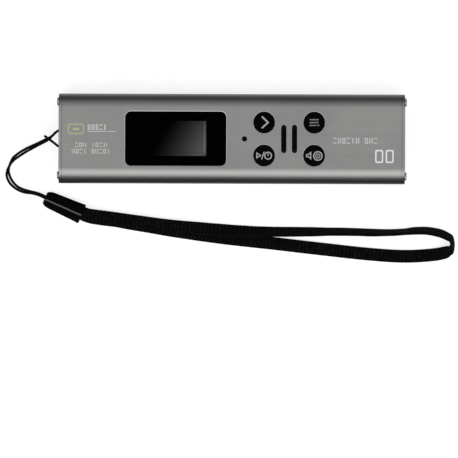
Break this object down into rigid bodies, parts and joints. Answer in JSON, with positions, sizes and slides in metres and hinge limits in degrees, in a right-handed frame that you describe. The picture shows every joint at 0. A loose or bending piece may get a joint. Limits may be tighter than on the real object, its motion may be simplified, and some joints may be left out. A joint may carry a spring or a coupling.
{
  "type": "geiger counter",
  "caption": "Pocket radiation meter in a flat aluminium extrusion with a flush display window, round keys, sound slots, screwed end plates and a hitched wrist strap.",
  "frame": {"origin": "centre of the case's flat back face, on the surface the case lies on", "axes": "+X along the case towards the charging socket, +Y across it, +Z out of the front face"},
  "size_m": [0.1803, 0.0673, 0.0192],
  "materials": {
    "anodised_aluminium": "bead-blasted and anodised, mid grey, satin",
    "screw_steel": "plated steel, machined head",
    "window_glass": "black-printed clear window, gloss",
    "gasket_foam": "black adhesive foam, matt",
    "display_glass": "dark display face, gloss",
    "backlight_film": "white diffuser",
    "polyimide": "amber film",
    "key_plastic": "black, fine satin, pale printed symbol",
    "switch_plastic": "black moulded",
    "plunger_plastic": "ivory moulded",
    "board_laminate": "green solder mask over glass laminate",
    "chip_epoxy": "black moulded epoxy",
    "tin_steel": "tinned sheet",
    "buzzer_plastic": "black moulded",
    "led_resin": "yellow-white resin",
    "smoked_acrylic": "dark smoked, gloss",
    "tube_steel": "thin drawn steel",
    "brass_cap": "plain turned",
    "ferrite": "dark grey ceramic",
    "capacitor_film": "red dipped",
    "cell_wrap": "grey shrink wrap",
    "foam_pad": "grey foam",
    "nylon_white": "natural nylon",
    "wire_red": "red insulation",
    "wire_black": "black insulation",
    "strap_braid": "black braided nylon cord",
    "strap_weave": "black woven nylon webbing",
    "strap_sleeve": "black moulded, gloss"
  },
  "bodies": {
    "root": {"battery_cell": "cell_wrap", "battery_header": "nylon_white", "battery_lead_black": "wire_black", "battery_lead_red": "wire_red", "battery_pad": "foam_pad", "battery_plug": "nylon_white", "buzzer": "buzzer_plastic", "charger_chip": "chip_epoxy", "display_backlight": "backlight_film", "display_flex": "polyimide", "display_panel": "display_glass", "display_window": "window_glass", "end_screw_left_1": "screw_steel", "end_screw_left_2": "screw_steel", "end_screw_left_3": "screw_steel", "end_screw_left_4": "screw_steel", "end_screw_right_1": "screw_steel", "end_screw_right_2": "screw_steel", "end_screw_right_3": "screw_steel", "end_screw_right_4": "screw_steel", "flex_connector": "nylon_white", "gm_cap_anode": "brass_cap", "gm_cap_cathode": "brass_cap", "gm_tube": "tube_steel", "housing_extrusion": "anodised_aluminium", "hv_capacitor": "capacitor_film", "hv_transformer": "ferrite", "led_light_pipe": "smoked_acrylic", "left_end_plate": "anodised_aluminium", "main_board": "board_laminate", "mcu_chip": "chip_epoxy", "right_end_plate": "anodised_aluminium", "status_led": "led_resin", "strap_cord": "strap_braid", "strap_ferrule": "strap_sleeve", "strap_webbing": "strap_weave", "switch_menu": "switch_plastic", "switch_power": "switch_plastic", "switch_scroll": "switch_plastic", "switch_sound": "switch_plastic", "tube_clip_anode": "tin_steel", "tube_clip_cathode": "tin_steel", "usb_socket": "tin_steel", "usb_tongue": "chip_epoxy", "window_gasket": "gasket_foam"},
    "key_scroll": {"button_scroll": "key_plastic", "plunger_scroll": "plunger_plastic"},
    "key_menu": {"button_menu": "key_plastic", "plunger_menu": "plunger_plastic"},
    "key_power": {"button_power": "key_plastic", "plunger_power": "plunger_plastic"},
    "key_sound": {"button_sound": "key_plastic", "plunger_sound": "plunger_plastic"}
  },
  "joints": [
    {"name": "press_scroll", "type": "slide", "parent": "root", "child": "key_scroll", "axis": [0, 0, -1], "range_m": [0, 0.0003], "stiffness_N_per_m": 1500, "springref_m": -0.0002},
    {"name": "press_menu", "type": "slide", "parent": "root", "child": "key_menu", "axis": [0, 0, -1], "range_m": [0, 0.0003], "stiffness_N_per_m": 1500, "springref_m": -0.0002},
    {"name": "press_power", "type": "slide", "parent": "root", "child": "key_power", "axis": [0, 0, -1], "range_m": [0, 0.0003], "stiffness_N_per_m": 1500, "springref_m": -0.0002},
    {"name": "press_sound", "type": "slide", "parent": "root", "child": "key_sound", "axis": [0, 0, -1], "range_m": [0, 0.0003], "stiffness_N_per_m": 1500, "springref_m": -0.0002}
  ]
}
